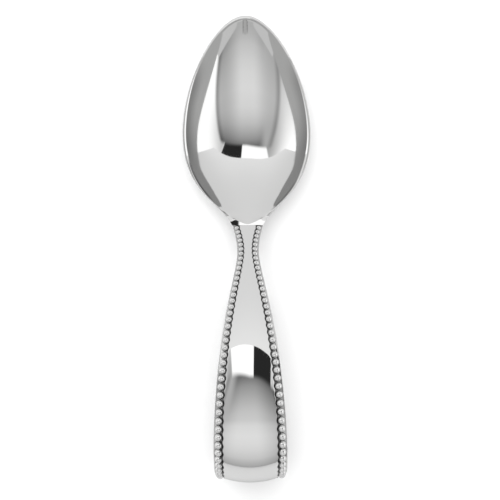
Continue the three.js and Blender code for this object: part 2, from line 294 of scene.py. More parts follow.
def point_values(piece, name, values):
    """Stores one number for each corner of a piece's mesh."""
    layer = piece.data.attributes.new(name, "FLOAT", "POINT")
    layer.data.foreach_set("value", np.asarray(values, dtype=np.float32))


def crisp_edges(piece, first, last, limit):
    """Keeps the edges of one ring crisp where they lie behind a limit along the spoon."""
    for edge in piece.data.edges:
        a, b = edge.vertices
        if first <= min(a, b) and max(a, b) < last and piece.data.vertices[a].co.y < limit:
            edge.use_edge_sharp = True


def cut_flat(piece, place, normal):
    """Cuts away what lies beyond a plane, closes the cut and keeps its edge crisp."""
    work = bmesh.new()
    work.from_mesh(piece.data)
    everything = work.verts[:] + work.edges[:] + work.faces[:]
    bmesh.ops.bisect_plane(work, geom=everything, plane_co=place, plane_no=normal, clear_outer=True)
    open_edges = [edge for edge in work.edges if edge.is_boundary]
    bmesh.ops.holes_fill(work, edges=open_edges, sides=0)
    for edge in open_edges:
        edge.smooth = False
    work.to_mesh(piece.data)
    work.free()


# Bowl

BOWL_HALF = BOWL_WIDTH / 2
JOINT_HALF = JOINT_WIDTH / 2
ALONG = np.array([-math.cos(NECK_ANGLE), math.sin(NECK_ANGLE)])
INWARD = np.array([-math.sin(NECK_ANGLE), -math.cos(NECK_ANGLE)])
JOINT_TOP = np.array([0.0, RIM_HEIGHT + SHOULDER_RISE])


def outer_side(end_count, stub_count, neck_count, shoulder_count, tip_count):
    """The right side of the bowl's outline, from the neck stub to the tip."""
    stub = (JOINT_HALF - NECK_FLARE * STUB_LENGTH, -STUB_LENGTH)
    joint = (JOINT_HALF, 0.0)
    flare = (JOINT_HALF + NECK_FLARE * NECK_FULLNESS, NECK_FULLNESS)
    widest = (BOWL_HALF, WIDEST_FROM_NECK)
    full = (BOWL_HALF, WIDEST_FROM_NECK - SHOULDER_FULLNESS)
    flank = (BOWL_HALF, WIDEST_FROM_NECK + FLANK_FULLNESS)
    neck_share = 0.08
    return joined(
        line((0.0, -STUB_LENGTH), stub, end_count),
        line(stub, joint, stub_count),
        curve(joint, flare, full, widest, neck_count, last=neck_share),
        curve(joint, flare, full, widest, shoulder_count, first=neck_share),
        curve(widest, flank, (TIP_FULLNESS, BOWL_LENGTH), (0.0, BOWL_LENGTH), tip_count),
    )


def hollow_side(end_count, shoulder_count, tip_count):
    """The right side of the hollow's outline, a rim width inside, with a blunt point at the neck."""
    inner = BOWL_HALF - RIM_WIDTH
    corner = np.array([JOINT_HALF + NECK_FLARE * SHOULDER_LENGTH - NECK_RIM, SHOULDER_LENGTH])
    blunt_end = (0.9, HOLLOW_FROM_NECK)
    into_corner = corner - (1.2, 0.62)
    flare = (corner[0] + NECK_FLARE * (NECK_FULLNESS - HOLLOW_TIGHTER), NECK_FULLNESS - HOLLOW_FLARE_BACK)
    full = (inner, WIDEST_FROM_NECK - SHOULDER_FULLNESS + HOLLOW_TIGHTER)
    widest = (inner, WIDEST_FROM_NECK)
    flank = (inner, WIDEST_FROM_NECK + FLANK_FULLNESS)
    tip = BOWL_LENGTH - RIM_WIDTH
    return joined(
        curve((0.0, HOLLOW_FROM_NECK), blunt_end, into_corner, corner, end_count),
        curve(corner, flare, full, widest, shoulder_count),
        curve(widest, flank, (TIP_FULLNESS, tip), (0.0, tip), tip_count),
    )


def rim_height(x, y):
    """Height of the rim: it lifts towards the tip, and the shoulder rises, lightly dished, to the joint."""
    past = np.maximum(0.0, y - WIDEST_FROM_NECK) / (BOWL_LENGTH - WIDEST_FROM_NECK)
    shoulder = np.maximum(0.0, 1.0 - y / SHOULDER_LENGTH)
    dish = (x * x / (2 * SHOULDER_DISH) - SHOULDER_SINK) * np.minimum(1.0, 2.0 * shoulder)
    return RIM_HEIGHT + TIP_LIFT * past**2 + SHOULDER_RISE * shoulder + dish


def bottom_line(heel, tip, low, radius):
    """Side view of a bowl surface along its middle, through its lowest point."""
    heel = np.asarray(heel, dtype=float)
    heel_handle = heel + HEEL_RUN * np.array([math.cos(HEEL_ANGLE), -math.sin(HEEL_ANGLE)])
    tip_handle = np.asarray(tip) - TIP_RUN * np.array([math.cos(TIP_ANGLE), math.sin(TIP_ANGLE)])
    lowest = np.array([DEEPEST_FROM_NECK, low])
    heel_reach = math.sqrt(2 / 3 * radius * (heel_handle[1] - low))
    tip_reach = math.sqrt(2 / 3 * radius * (tip_handle[1] - low))
    fine_count = 2000
    run = joined(
        curve(heel, heel_handle, lowest - (heel_reach, 0.0), lowest, fine_count),
        curve(lowest, lowest + (tip_reach, 0.0), tip_handle, tip, fine_count),
    )
    height = lookup(run)
    return lambda y: np.where(y < heel[0], heel[1] - (y - heel[0]) * math.tan(HEEL_ANGLE), height(y))


def lip_share(y):
    """How far the lip is formed: it flattens out towards the neck."""
    return smooth_share(y, *LIP_FORMING)


def sagging_surface(side, bottom, drop):
    """Height of a bowl surface that hangs from the rim, less a drop, to its bottom line.

    Towards the neck its floor is flatter across and its sides are steeper.
    """
    width_at = lookup(side[:, ::-1])
    least_width = 1e-6

    def height(x, y):
        low = bottom(y)
        share = np.minimum(1.0, np.abs(x) / np.maximum(width_at(y), least_width))
        steepness = 2.0 + SHOULDER_STEEPNESS * comes_and_goes(y, STEEPNESS_COMING, STEEPNESS_GOING)
        flat_floor = FLOOR_SINK * comes_and_goes(y, FLAT_FLOOR_COMING, FLAT_FLOOR_GOING)
        # At its deepest, 0.45 of the way to the rim, the dip is 0.08 of the sink
        dip = flat_floor * share**2 * (1 - share**2) ** 4
        return low + (rim_height(x, y) - drop(y) - low) * share**steepness - dip

    return height


def bowl_outside():
    """Height of the bowl's outer surface over its plan."""
    heel = JOINT_TOP + INWARD * NECK_THICKNESS
    tip = (BOWL_LENGTH, rim_height(0.0, BOWL_LENGTH) - RIM_ROUNDING)
    bottom = bottom_line(heel, tip, -REST_WEAR, BOTTOM_RADIUS + BOWL_WALL)
    side = outer_side(end_count=40, stub_count=200, neck_count=400, shoulder_count=2000, tip_count=4000)
    return sagging_surface(side, bottom, lambda y: RIM_ROUNDING)


def bowl_hollow():
    """Height of the bowl's inner surface over its plan."""
    heel = (HOLLOW_FROM_NECK, rim_height(0.0, HOLLOW_FROM_NECK))
    tip = BOWL_LENGTH - RIM_WIDTH
    bottom = bottom_line(heel, (tip, rim_height(0.0, tip) - LIP_SINK), BOWL_WALL, BOTTOM_RADIUS)
    side = hollow_side(end_count=2000, shoulder_count=2000, tip_count=4000)
    return sagging_surface(side, bottom, lambda y: LIP_SINK * lip_share(y))


def rounded_lip():
    """The lip's section at the bowl's sides: share of the rim's width, and rise over the rim."""
    return curve((0.0, -LIP_SINK), (0.5, 0.21), (1.02, 0.47), (1.0, -RIM_ROUNDING), 15)


def sloping_lip():
    """The lip's section at the tip, where its crown slopes gently outwards."""
    crown_start = (0.3, 0.03)
    crown_end = (0.68, -0.1)
    return joined(
        curve((0.0, -LIP_SINK), (0.12, -0.02), (0.16, 0.08), crown_start, 6),
        line(crown_start, crown_end, 5),
        curve(crown_end, (0.88, -0.167), (0.99, -0.21), (1.0, -RIM_ROUNDING), 6),
    )


def painted_lip_corner_shade(outline):
    """Painted shade in the corner beside the lip, near the neck and mostly on the left."""
    x, y = outline.T
    left = comes_and_goes(y, LEFT_CORNER_COMING, LEFT_CORNER_GOING)
    right = RIGHT_CORNER_DARK * comes_and_goes(y, RIGHT_CORNER_COMING, RIGHT_CORNER_GOING)
    return np.where(x < 0, left, right)


def painted_hollow_shade(outline, share):
    """Painted shade on the hollow's sides, deepest beside the rim."""
    x, y = outline.T
    beside = comes_and_goes(y, SIDE_DARK_COMING, SIDE_DARK_GOING)
    depth = np.where(x < 0, SIDE_DARK_LEFT, SIDE_DARK_RIGHT)
    return depth * beside * smooth_share(share, *SIDE_DARK_SHARES)


def both_sides(side):
    """A closed outline from its right side."""
    left = side[-2:0:-1] * (-1.0, 1.0)
    return np.vstack([side, left])


def make_bowl():
    """The bowl: rings from the hollow's lowest point, out over the lip and back under it."""
    outer = both_sides(outer_side(end_count=6, stub_count=8, neck_count=5, shoulder_count=72, tip_count=96))
    inner = both_sides(hollow_side(end_count=17, shoulder_count=72, tip_count=96))
    innermost_share = 0.03
    ring_count = 60
    corner_rings = 4
    outside = bowl_outside()
    hollow = bowl_hollow()
    middle = np.array([0.0, DEEPEST_FROM_NECK])

    def ring(outline, share, height):
        x, y = (middle + (outline - middle) * share).T
        return np.column_stack([x, y, np.maximum(height(x, y), 0.0)])

    shares = np.linspace(innermost_share, 1.0, ring_count)
    rings = [ring(inner, share, hollow) for share in shares]
    rim_edge = len(rings) * len(inner)
    formed = lip_share(outer[:, 1])
    near_tip = smooth_share(outer[:, 1], *LIP_SLOPING)[:, None]
    for round_point, sloping_point in list(zip(rounded_lip(), sloping_lip()))[1:-1]:
        across, rise = (round_point + (sloping_point - round_point) * near_tip).T
        x, y = (inner + (outer - inner) * across[:, None]).T
        rings.append(np.column_stack([x, y, rim_height(x, y) + rise * formed]))
    rings.extend(ring(outer, share, outside) for share in shares[::-1])
    lowest_in = (0.0, DEEPEST_FROM_NECK, BOWL_WALL)
    lowest_out = (0.0, DEEPEST_FROM_NECK, 0.0)
    piece = as_object("bowl_polished", *skin(rings, lowest_in, lowest_out))
    crisp_edges(piece, rim_edge - len(inner), rim_edge, (SHOULDER_LENGTH + ROW_SHIFT) * MM)
    # Painted shade in the corners beside the lip, on top of the bowl's even wear
    corners = np.full((len(rings), len(inner)), BOWL_WEAR)
    beside_lip = slice(ring_count - 1, ring_count - 1 + corner_rings)
    corners[beside_lip] = np.maximum(BOWL_WEAR, painted_lip_corner_shade(inner))
    point_values(piece, "wear_and_painted_shade", np.append(corners, [BOWL_WEAR, BOWL_WEAR]))
    # Painted shade on the hollow's sides, which only the camera sees
    sides = np.zeros((len(rings), len(inner)))
    sides[:ring_count] = [painted_hollow_shade(inner, share) for share in shares]
    point_values(piece, "painted_side_shade", np.append(sides, [0.0, 0.0]))
    face_outwards(piece)
    cut_flat(piece, Vector((0.0, ROW_SHIFT + JOINT_GAP, 0.0)) * MM, Vector((0.0, -1.0, 0.0)))
    return piece


# Handle strip


def spine_points():
    """Side view of the strip's outer face, over the loop and back under it."""
    crest = np.array([-CREST_FROM_NECK, LOOP_HEIGHT])
    end = np.array([-LOOP_LENGTH, LOOP_END_HEIGHT])
    foot = np.array([-LOOP_FOOT_FROM_NECK, -REST_WEAR])
    tip = np.array([-RETURN_TIP_FROM_NECK, RETURN_TIP_HEIGHT])
    tip_handle = tip - RETURN_TIP_RUN * np.array([math.cos(RETURN_TIP_ANGLE), math.sin(RETURN_TIP_ANGLE)])
    over = crest + (QUARTER_ROUND * (end[0] - crest[0]), 0.0)
    down = end + (0.0, QUARTER_ROUND * (crest[1] - end[1]))
    under = end - (0.0, QUARTER_ROUND * (end[1] - foot[1]))
    back = foot + (QUARTER_ROUND * (end[0] - foot[0]), 0.0)
    fine_count = 3000
    spans = [
        curve(JOINT_TOP, JOINT_TOP + ALONG * NECK_RUN, crest + (CREST_RUN, 0.0), crest, fine_count),
        curve(crest, over, down, end, fine_count),
        curve(end, under, back, foot, fine_count),
        curve(foot, foot + (FOOT_RUN, 0.0), tip_handle, tip, fine_count),
    ]
    return joined(*spans), len(spans[0]) + len(spans[1]) - 2


SPINE, LOOP_END_INDEX = spine_points()
SPINE_ALONG = np.concatenate([[0.0], np.cumsum(np.hypot(*np.diff(SPINE, axis=0).T))])
SPINE_HEADING = np.gradient(SPINE, SPINE_ALONG, axis=0)
SPINE_HEADING /= np.hypot(*SPINE_HEADING.T)[:, None]
LOOP_END_ALONG = SPINE_ALONG[LOOP_END_INDEX]
TIP_START = SPINE_ALONG[-1] - RETURN_TIP_RADIUS
BEAD_END = TIP_START - BEAD_END_GAP


def strip_outline():
    """Half the strip's width along it: in to the waist, out to the loop and in again on the return."""
    waist_half = WAIST_WIDTH / 2
    loop_half = LOOP_WIDTH / 2
    neck_count = 2000
    fine_count = 3000
    return joined(
        curve(
            (0.0, JOINT_HALF - JOINT_STEP),
            (JOINT_RUN, JOINT_HALF - JOINT_DRAW),
            (WAIST_ALONG - WAIST_RUN_TO_JOINT, waist_half),
            (WAIST_ALONG, waist_half),
            neck_count,
        ),
        curve(
            (WAIST_ALONG, waist_half),
            (WAIST_ALONG + WAIST_RUN_TO_LOOP, waist_half),
            (WIDEST_ALONG - WIDEST_RUN_TO_WAIST, loop_half),
            (WIDEST_ALONG, loop_half),
            fine_count,
        ),
        curve(
            (WIDEST_ALONG, loop_half),
            (WIDEST_ALONG + WIDEST_RUN_TO_TIP, loop_half),
            (TIP_START - RETURN_NARROWING_RUN, loop_half - RETURN_NARROWING),
            (TIP_START, RETURN_TIP_RADIUS),
            fine_count,
        ),
    )


strip_taper = lookup(strip_outline())


def strip_half(s):
    """Half the strip's width: its taper, with a round end to the return."""
    past = np.clip((s - TIP_START) / RETURN_TIP_RADIUS, 0.0, 1.0)
    return strip_taper(s) * np.sqrt(1 - past**2)


def grade(s):
    """How far the beads have grown from the neck's size (0) to the loop's (1)."""
    places = [0.0, GRADING_LENGTH, LOOP_END_ALONG, BEAD_END]
    return float(np.interp(s, places, [0.0, 1.0, 1.0, RETURN_GRADE]))


def graded(at_neck, at_loop, s):
    """A size that grows with the beads."""
    return at_neck + (at_loop - at_neck) * grade(s)


def bead_pitch(s):
    return graded(BEAD_PITCH_NECK, BEAD_PITCH_LOOP, s)


def bead_places():
    """Where each bead's middle lies along the strip."""
    places = []
    s = FIRST_BEAD_ALONG
    while s + bead_pitch(s) / 2 < BEAD_END:
        places.append(s)
        s += bead_pitch(s + bead_pitch(s) / 2)
    return places


BEAD_PLACES = bead_places()


def scallop(s):
    """Wave of the panel's edge: it draws back at each bead and comes out between two beads."""
    turn = np.interp(s, BEAD_PLACES, range(len(BEAD_PLACES)))
    return -graded(SCALLOP_NECK, SCALLOP_LOOP, s) * math.cos(2 * math.pi * turn)


def dome_drop(x, s):
    """Fall of the domed face beside its crown: the dome is flatter round the loop's end."""
    flatter = comes_and_goes(s, LOOP_DOME_COMING, LOOP_DOME_GOING)
    return x * x / (2 * (DOME_RADIUS + (LOOP_DOME_RADIUS - DOME_RADIUS) * flatter))


def panel_half(s):
    """Half the panel's width, without its scallops."""
    return max(LEAST_PANEL, strip_half(s) - graded(PANEL_INSET_NECK, PANEL_INSET_LOOP, s))


def ledge_level(panel):
    """Height of the ledge beside a panel of the given half width."""
    return -panel * panel / (2 * LEDGE_RADIUS) - LEDGE_DROP


def strip_depth(s):
    """Thickness of the strip along its middle: it thins away from the neck."""
    at_neck = NECK_THICKNESS + TONGUE_THICKNESS
    return STRIP_THICKNESS + (at_neck - STRIP_THICKNESS) * (1 - smooth_share(s, *NECK_THINNING))


def on_strip(s, across, over):
    """Places across the strip and over its outer face, in space."""
    ahead = np.minimum(0.0, s)
    y, z = (np.interp(s, SPINE_ALONG, SPINE[:, k]) + ahead * SPINE_HEADING[0, k] for k in (0, 1))
    head_y, head_z = (np.interp(s, SPINE_ALONG, SPINE_HEADING[:, k]) for k in (0, 1))
    across = np.asarray(across, dtype=float)
    over = np.asarray(over, dtype=float)
    return np.column_stack([across, y + over * head_z, z - over * head_y])


def corner_round(start, corner, end, count):
    """A rounded corner, without its first point."""
    t = np.linspace(0.0, 1.0, count)[1:, None]
    start, corner, end = (np.asarray(p, dtype=float) for p in (start, corner, end))
    return (1 - t) ** 2 * start + 2 * (1 - t) * t * corner + t**2 * end


def half_section(s, beaded):
    """Right half of the strip's section, crown to back, and where painted shade lies in its corners and on
    its edge.
    """
    wide = float(strip_half(s))
    ease = min(EDGE_EASE, wide * LARGEST_EDGE_SHARE)
    panel = max(LEAST_PANEL, panel_half(s) + scallop(s)) if beaded else wide * PLAIN_PANEL_SHARE
    foot = wide - min(SIDE_LEAN, wide * LARGEST_EDGE_SHARE)
    depth = strip_depth(s)
    ledge = ledge_level(panel_half(s))
    back_edge = ledge - LEDGE_THICKNESS

    def back(x):
        return -depth + (back_edge + depth) * (x / wide) ** 2

    crown = np.linspace(0.0, panel - min(PANEL_EASE, panel * LARGEST_EASE_SHARE), 16)
    top = np.column_stack([crown, -dome_drop(crown, s)])
    if beaded:
        side = -dome_drop(panel, s)
        wall_top = (panel + 0.4 * PANEL_WALL_LEAN, side - PANEL_EASE)
        wall_foot = (panel + 0.8 * PANEL_WALL_LEAN, ledge + LEDGE_ROOT_ROUND)
        seat_start = (panel + PANEL_WALL_LEAN + LEDGE_ROOT_ROUND, ledge)
        bevel = (wide - BEVEL_ROUND, ledge - BEVEL_DROP)
        brow = corner_round(top[-1], (panel, side), wall_top, 6)
        root = corner_round(wall_foot, (panel + PANEL_WALL_LEAN, ledge), seat_start, 3)
        seat = line(seat_start, (wide - BEVEL_WIDTH, ledge), 4)[1:]
        shelf = np.vstack([[wall_foot], root, seat, [bevel]])
        edge = corner_round(bevel, (wide, bevel[1] - BEVEL_TILT), (wide, bevel[1] - ease), 6)
    else:
        # A plain section has as many rows as a beaded one, so that a skin can run over both
        side = -dome_drop(wide, s)
        rest = np.linspace(crown[-1], wide - ease, 13)[1:]
        plain = np.column_stack([rest, -dome_drop(rest, s)])
        brow, shelf = plain[:5], plain[5:]
        edge = corner_round((wide - ease, side), (wide, side), (wide, side - ease), 6)
    heel = (foot, min(back_edge + ease, edge[-1, 1] - LEAST_SIDE))
    under = corner_round(heel, (foot, back(foot)), (foot - ease, back(foot - ease)), 5)
    rear = np.linspace(foot - ease, 0.0, 10)[1:]
    rows = np.vstack([top, brow, shelf, edge, [heel], under, np.column_stack([rear, back(rear)])])
    # Painted shade on the panel's wall and the ledge, fading outwards, and a painted dark outline along the
    # edge, darker at the neck than at the loop
    dark = np.zeros(len(rows))
    if beaded:
        first = len(top) + 1
        last = len(top) + len(brow) + len(shelf)
        dark[first:last] = 1.0
        dark[last - 1 - len(LEDGE_DARK_OUTWARDS) : last - 1] = LEDGE_DARK_OUTWARDS
        fading = smooth_share(s, *EDGE_DARK_FADING)
        dark[last - 1 : last + len(edge)] = EDGE_DARK_NECK + (EDGE_DARK_LOOP - EDGE_DARK_NECK) * fading
    return rows, dark


def strip_ring(s, beaded):
    """One section of the strip, turned upright towards the joint, and where painted shade lies on it."""
    right, dark = half_section(s, beaded)
    rows = np.vstack([right, right[-2:0:-1] * (-1.0, 1.0)])
    upright = math.tan(NECK_ANGLE) * max(0.0, 1.0 - s / WAIST_ALONG)
    ring = on_strip(s + upright * rows[:, 1], rows[:, 0], rows[:, 1])
    ring[:, 2] = np.maximum(ring[:, 2], 0.0)
    return ring, np.concatenate([dark, dark[-2:0:-1]])


def tongue_rings():
    """The drop that laps under the bowl, thinning to a round end."""
    outside = bowl_outside()
    length = TONGUE_ROOT_BACK + TONGUE_LENGTH
    nose = TONGUE_LENGTH * TONGUE_NOSE_SHARE
    across_count = 21
    ring_count = 40
    share = np.linspace(-1.0, 1.0, across_count)
    bulge = np.sqrt(1 - share**2)
    rings = []
    for step in np.linspace(0.0, 1.0, ring_count):
        y = length * math.sin(step * math.pi / 2) - TONGUE_ROOT_BACK
        past = max(0.0, (y - TONGUE_LENGTH + nose) / nose)
        wide = TONGUE_WIDTH / 2 * math.sqrt(1 - NOSE_NARROWING * past**2)
        thin = TONGUE_ROOT_SHARE if y < 0 else 1 - TONGUE_THINNING * y / TONGUE_LENGTH
        thick = (TONGUE_THICKNESS - SOLDER_FILM) * thin * math.sqrt(1 - NOSE_THINNING * past**2)
        x = wide * share
        line_y = np.full_like(x, y)
        seat = outside(x, line_y)
        below = np.column_stack([x, line_y, np.maximum(seat - TONGUE_GAP - thick * bulge, 0.0)])
        above = np.column_stack([x, line_y, seat + TONGUE_SINK])[::-1]
        rings.append(np.vstack([below, above]))
    return rings


def make_handle():
    """The handle: its strip, from the joint to the round end of the return, and its tongue."""
    beaded_count = 760
    tip_count = 12
    tip_turn = 1.5
    tip_back = 0.3
    stations = [(s, True) for s in np.linspace(0.0, BEAD_END, beaded_count)]
    for turn in np.linspace(0.0, tip_turn, tip_count):
        past_start = RETURN_TIP_RADIUS * math.sin(turn) - tip_back * math.cos(turn)
        stations.append((TIP_START + past_start, False))
    rings, dark = zip(*(strip_ring(s, beaded) for s, beaded in stations))
    strip_corners, strip_faces = skin(rings)
    drop_corners, drop_faces = skin(tongue_rings())
    shift = len(strip_corners)
    faces = strip_faces + [tuple(k + shift for k in face) for face in drop_faces]
    piece = as_object("handle_polished", np.vstack([strip_corners, drop_corners]), faces)
    face_outwards(piece)
    # Painted shade in the strip's corners and along its edge; none on the tongue
    point_values(piece, "wear_and_painted_shade", np.concatenate(list(dark) + [np.zeros(len(drop_corners))]))
    crisp_from = math.radians(50)
    piece.data.set_sharp_from_angle(angle=crisp_from)
    return piece


# Finishes

CLEAN_SILVER = (0.985, 0.985, 0.98)
DULL_IN_CORNERS = 0.25
HAIR_LINE_SHARPNESS = 4.0
HAIR_LINE_SHARE = 1.5


def grey(level):
    return (level, level, level, 1.0)


def node(tree, kind, **settings):
    """A new node of a kind, with its settings."""
    made = tree.nodes.new(kind)
    for name, value in settings.items():
        setattr(made, name, value)
    return made


def math_node(tree, operation, first, second=None, clamp=False):
    """The result of one operation on sockets or plain numbers."""
    made = node(tree, "ShaderNodeMath", operation=operation, use_clamp=clamp)
    for socket, value in zip(made.inputs, (first, second)):
        if isinstance(value, bpy.types.NodeSocket):
            tree.links.new(value, socket)
        elif value is not None:
            socket.default_value = value
    return made.outputs[0]


def add_socket(group, in_out, name, kind, value=None):
    """A named socket on a group, with its first value."""
    socket = group.interface.new_socket(name, in_out=in_out, socket_type="NodeSocket" + kind)
    if value is not None:
        socket.default_value = value


def hand_polish_group():
    """Fine polishing marks: a slow change of gloss with hair lines across it."""
    group = bpy.data.node_groups.new("Hand polish", "ShaderNodeTree")
    add_socket(group, "INPUT", "Vector", "Vector")
    add_socket(group, "INPUT", "Gloss", "Float", 0.05)
    add_socket(group, "INPUT", "Haze", "Float", 0.03)
    add_socket(group, "OUTPUT", "Roughness", "Float")
    add_socket(group, "OUTPUT", "Height", "Float")
    start = node(group, "NodeGroupInput")
    end = node(group, "NodeGroupOutput")
    clouds = node(group, "ShaderNodeTexNoise")
    clouds.inputs["Scale"].default_value = 140.0
    clouds.inputs["Detail"].default_value = 3.0
    group.links.new(start.outputs["Vector"], clouds.inputs["Vector"])
    stretch = node(group, "ShaderNodeMapping")
    stretch.inputs["Rotation"].default_value = (0.0, 0.0, 0.5)
    stretch.inputs["Scale"].default_value = (5200.0, 320.0, 900.0)
    group.links.new(start.outputs["Vector"], stretch.inputs["Vector"])
    hair = node(group, "ShaderNodeTexNoise")
    hair.inputs["Scale"].default_value = 1.0
    hair.inputs["Detail"].default_value = 2.0
    group.links.new(stretch.outputs["Vector"], hair.inputs["Vector"])
    lines = math_node(group, "POWER", hair.outputs["Fac"], HAIR_LINE_SHARPNESS)
    marks = math_node(group, "MULTIPLY", lines, HAIR_LINE_SHARE)
    haze = math_node(group, "ADD", marks, clouds.outputs["Fac"])
    spread = math_node(group, "MULTIPLY", haze, start.outputs["Haze"])
    rough = math_node(group, "ADD", spread, start.outputs["Gloss"], clamp=True)
    group.links.new(rough, end.inputs["Roughness"])
    group.links.new(lines, end.inputs["Height"])
    return group


def silver_finish(name, polish, gloss, haze, dark):
    """Silver darkened by wear and by painted shade in its corners, and by painted shade on the bowl's
    sides.

    The sides are dark only where the camera sees them, not where the silver mirrors itself.
    """
    material = bpy.data.materials.new(name)
    material.use_nodes = True
    tree = material.node_tree
    surface = tree.nodes["Principled BSDF"]
    surface.inputs["Metallic"].default_value = 1.0
    where = node(tree, "ShaderNodeTexCoord")
    marks = node(tree, "ShaderNodeGroup", node_tree=polish)
    marks.inputs["Gloss"].default_value = gloss
    marks.inputs["Haze"].default_value = haze
    tree.links.new(where.outputs["Object"], marks.inputs["Vector"])
    # One attribute holds the painted shade in the corners and the bowl's even wear; the other holds the
    # painted shade on the bowl's sides, for camera rays only
    kept = node(tree, "ShaderNodeAttribute", attribute_name="wear_and_painted_shade")
    sides = node(tree, "ShaderNodeAttribute", attribute_name="painted_side_shade")
    path = node(tree, "ShaderNodeLightPath")
    seen = math_node(tree, "MULTIPLY", sides.outputs["Fac"], path.outputs["Is Camera Ray"])
    colour = node(tree, "ShaderNodeMix", data_type="RGBA")
    colour.inputs["A"].default_value = (*CLEAN_SILVER, 1.0)
    colour.inputs["B"].default_value = grey(dark)
    tree.links.new(math_node(tree, "ADD", kept.outputs["Fac"], seen, clamp=True), colour.inputs["Factor"])
    tree.links.new(colour.outputs["Result"], surface.inputs["Base Color"])
    dull = math_node(tree, "MULTIPLY", kept.outputs["Fac"], DULL_IN_CORNERS)
    rough = math_node(tree, "ADD", marks.outputs["Roughness"], dull, clamp=True)
    tree.links.new(rough, surface.inputs["Roughness"])
    bump = node(tree, "ShaderNodeBump")
    bump.inputs["Strength"].default_value = 0.04
    bump.inputs["Distance"].default_value = 0.00001
    tree.links.new(marks.outputs["Height"], bump.inputs["Height"])
    tree.links.new(bump.outputs["Normal"], surface.inputs["Normal"])
    return material


# Bead wires


def bead_row_tree():
    """Flat-backed beads on the points of a row, with a thin web that runs through them, and painted shade
    round the beads' bases and on the web.
    """
    tree = bpy.data.node_groups.new("Bead row", "GeometryNodeTree")
    add_socket(tree, "INPUT", "Row", "Geometry")
    add_socket(tree, "INPUT", "Rise", "Float", BEAD_RISE)
    add_socket(tree, "INPUT", "Web", "Float", BEAD_WEB * MM)
    add_socket(tree, "INPUT", "Segments", "Int", BEAD_SEGMENTS)
    add_socket(tree, "INPUT", "Rings", "Int", BEAD_RINGS)
    add_socket(tree, "INPUT", "Finish", "Material")
    add_socket(tree, "OUTPUT", "Beads", "Geometry")
    start = node(tree, "NodeGroupInput")
    end = node(tree, "NodeGroupOutput")
    radius = node(tree, "GeometryNodeInputNamedAttribute", data_type="FLOAT")
    radius.inputs["Name"].default_value = "bead_radius"
    upright = node(tree, "GeometryNodeInputNamedAttribute", data_type="FLOAT_VECTOR")
    upright.inputs["Name"].default_value = "bead_up"

    ball = node(tree, "GeometryNodeMeshUVSphere")
    ball.inputs["Radius"].default_value = 1.0
    tree.links.new(start.outputs["Segments"], ball.inputs["Segments"])
    tree.links.new(start.outputs["Rings"], ball.inputs["Rings"])
    place = node(tree, "GeometryNodeInputPosition")
    parts = node(tree, "ShaderNodeSeparateXYZ")
    tree.links.new(place.outputs["Position"], parts.inputs["Vector"])
    flat_back = math_node(tree, "MAXIMUM", parts.outputs["Z"], BEAD_BACK)
    raised = math_node(tree, "MULTIPLY", flat_back, start.outputs["Rise"])
    shaped = node(tree, "ShaderNodeCombineXYZ")
    tree.links.new(parts.outputs["X"], shaped.inputs["X"])
    tree.links.new(parts.outputs["Y"], shaped.inputs["Y"])
    tree.links.new(raised, shaped.inputs["Z"])
    bead = node(tree, "GeometryNodeSetPosition")
    tree.links.new(ball.outputs["Mesh"], bead.inputs["Geometry"])
    tree.links.new(shaped.outputs["Vector"], bead.inputs["Position"])
    # Painted shade round each bead's base, from its equator down
    rim_shade = node(tree, "ShaderNodeMapRange")
    rim_shade.inputs["From Min"].default_value = -0.1
    rim_shade.inputs["From Max"].default_value = 0.12
    rim_shade.inputs["To Min"].default_value = 1.0
    rim_shade.inputs["To Max"].default_value = 0.0
    tree.links.new(parts.outputs["Z"], rim_shade.inputs["Value"])
    shaded = node(tree, "GeometryNodeStoreNamedAttribute", data_type="FLOAT", domain="POINT")
    shaded.inputs["Name"].default_value = "wear_and_painted_shade"
    tree.links.new(bead.outputs["Geometry"], shaded.inputs["Geometry"])
    tree.links.new(rim_shade.outputs["Result"], shaded.inputs["Value"])

    aim = node(tree, "FunctionNodeAlignRotationToVector", axis="Z")
    tree.links.new(upright.outputs["Attribute"], aim.inputs["Vector"])
    row = node(tree, "GeometryNodeInstanceOnPoints")
    tree.links.new(start.outputs["Row"], row.inputs["Points"])
    tree.links.new(shaded.outputs["Geometry"], row.inputs["Instance"])
    tree.links.new(aim.outputs["Rotation"], row.inputs["Rotation"])
    tree.links.new(radius.outputs["Attribute"], row.inputs["Scale"])

    path = node(tree, "GeometryNodeMeshToCurve")
    tree.links.new(start.outputs["Row"], path.inputs["Mesh"])
    wire = node(tree, "GeometryNodeCurvePrimitiveCircle")
    wire.inputs["Resolution"].default_value = 8
    tree.links.new(math_node(tree, "MULTIPLY", start.outputs["Web"], 0.5), wire.inputs["Radius"])
    web = node(tree, "GeometryNodeCurveToMesh")
    web.inputs["Fill Caps"].default_value = True
    tree.links.new(path.outputs["Curve"], web.inputs["Curve"])
    tree.links.new(wire.outputs["Curve"], web.inputs["Profile Curve"])
    # Painted shade over the whole web between the beads
    web_shade = node(tree, "GeometryNodeStoreNamedAttribute", data_type="FLOAT", domain="POINT")
    web_shade.inputs["Name"].default_value = "wear_and_painted_shade"
    web_shade.inputs["Value"].default_value = 1.0
    tree.links.new(web.outputs["Mesh"], web_shade.inputs["Geometry"])

    both = node(tree, "GeometryNodeJoinGeometry")
    tree.links.new(row.outputs["Instances"], both.inputs["Geometry"])
    tree.links.new(web_shade.outputs["Geometry"], both.inputs["Geometry"])
    real = node(tree, "GeometryNodeRealizeInstances")
    tree.links.new(both.outputs["Geometry"], real.inputs["Geometry"])
    smooth = node(tree, "GeometryNodeSetShadeSmooth")
    tree.links.new(real.outputs["Geometry"], smooth.inputs["Geometry"])
    finish = node(tree, "GeometryNodeSetMaterial")
    tree.links.new(smooth.outputs["Geometry"], finish.inputs["Geometry"])
    tree.links.new(start.outputs["Finish"], finish.inputs["Material"])
    tree.links.new(finish.outputs["Geometry"], end.inputs["Beads"])
    return tree


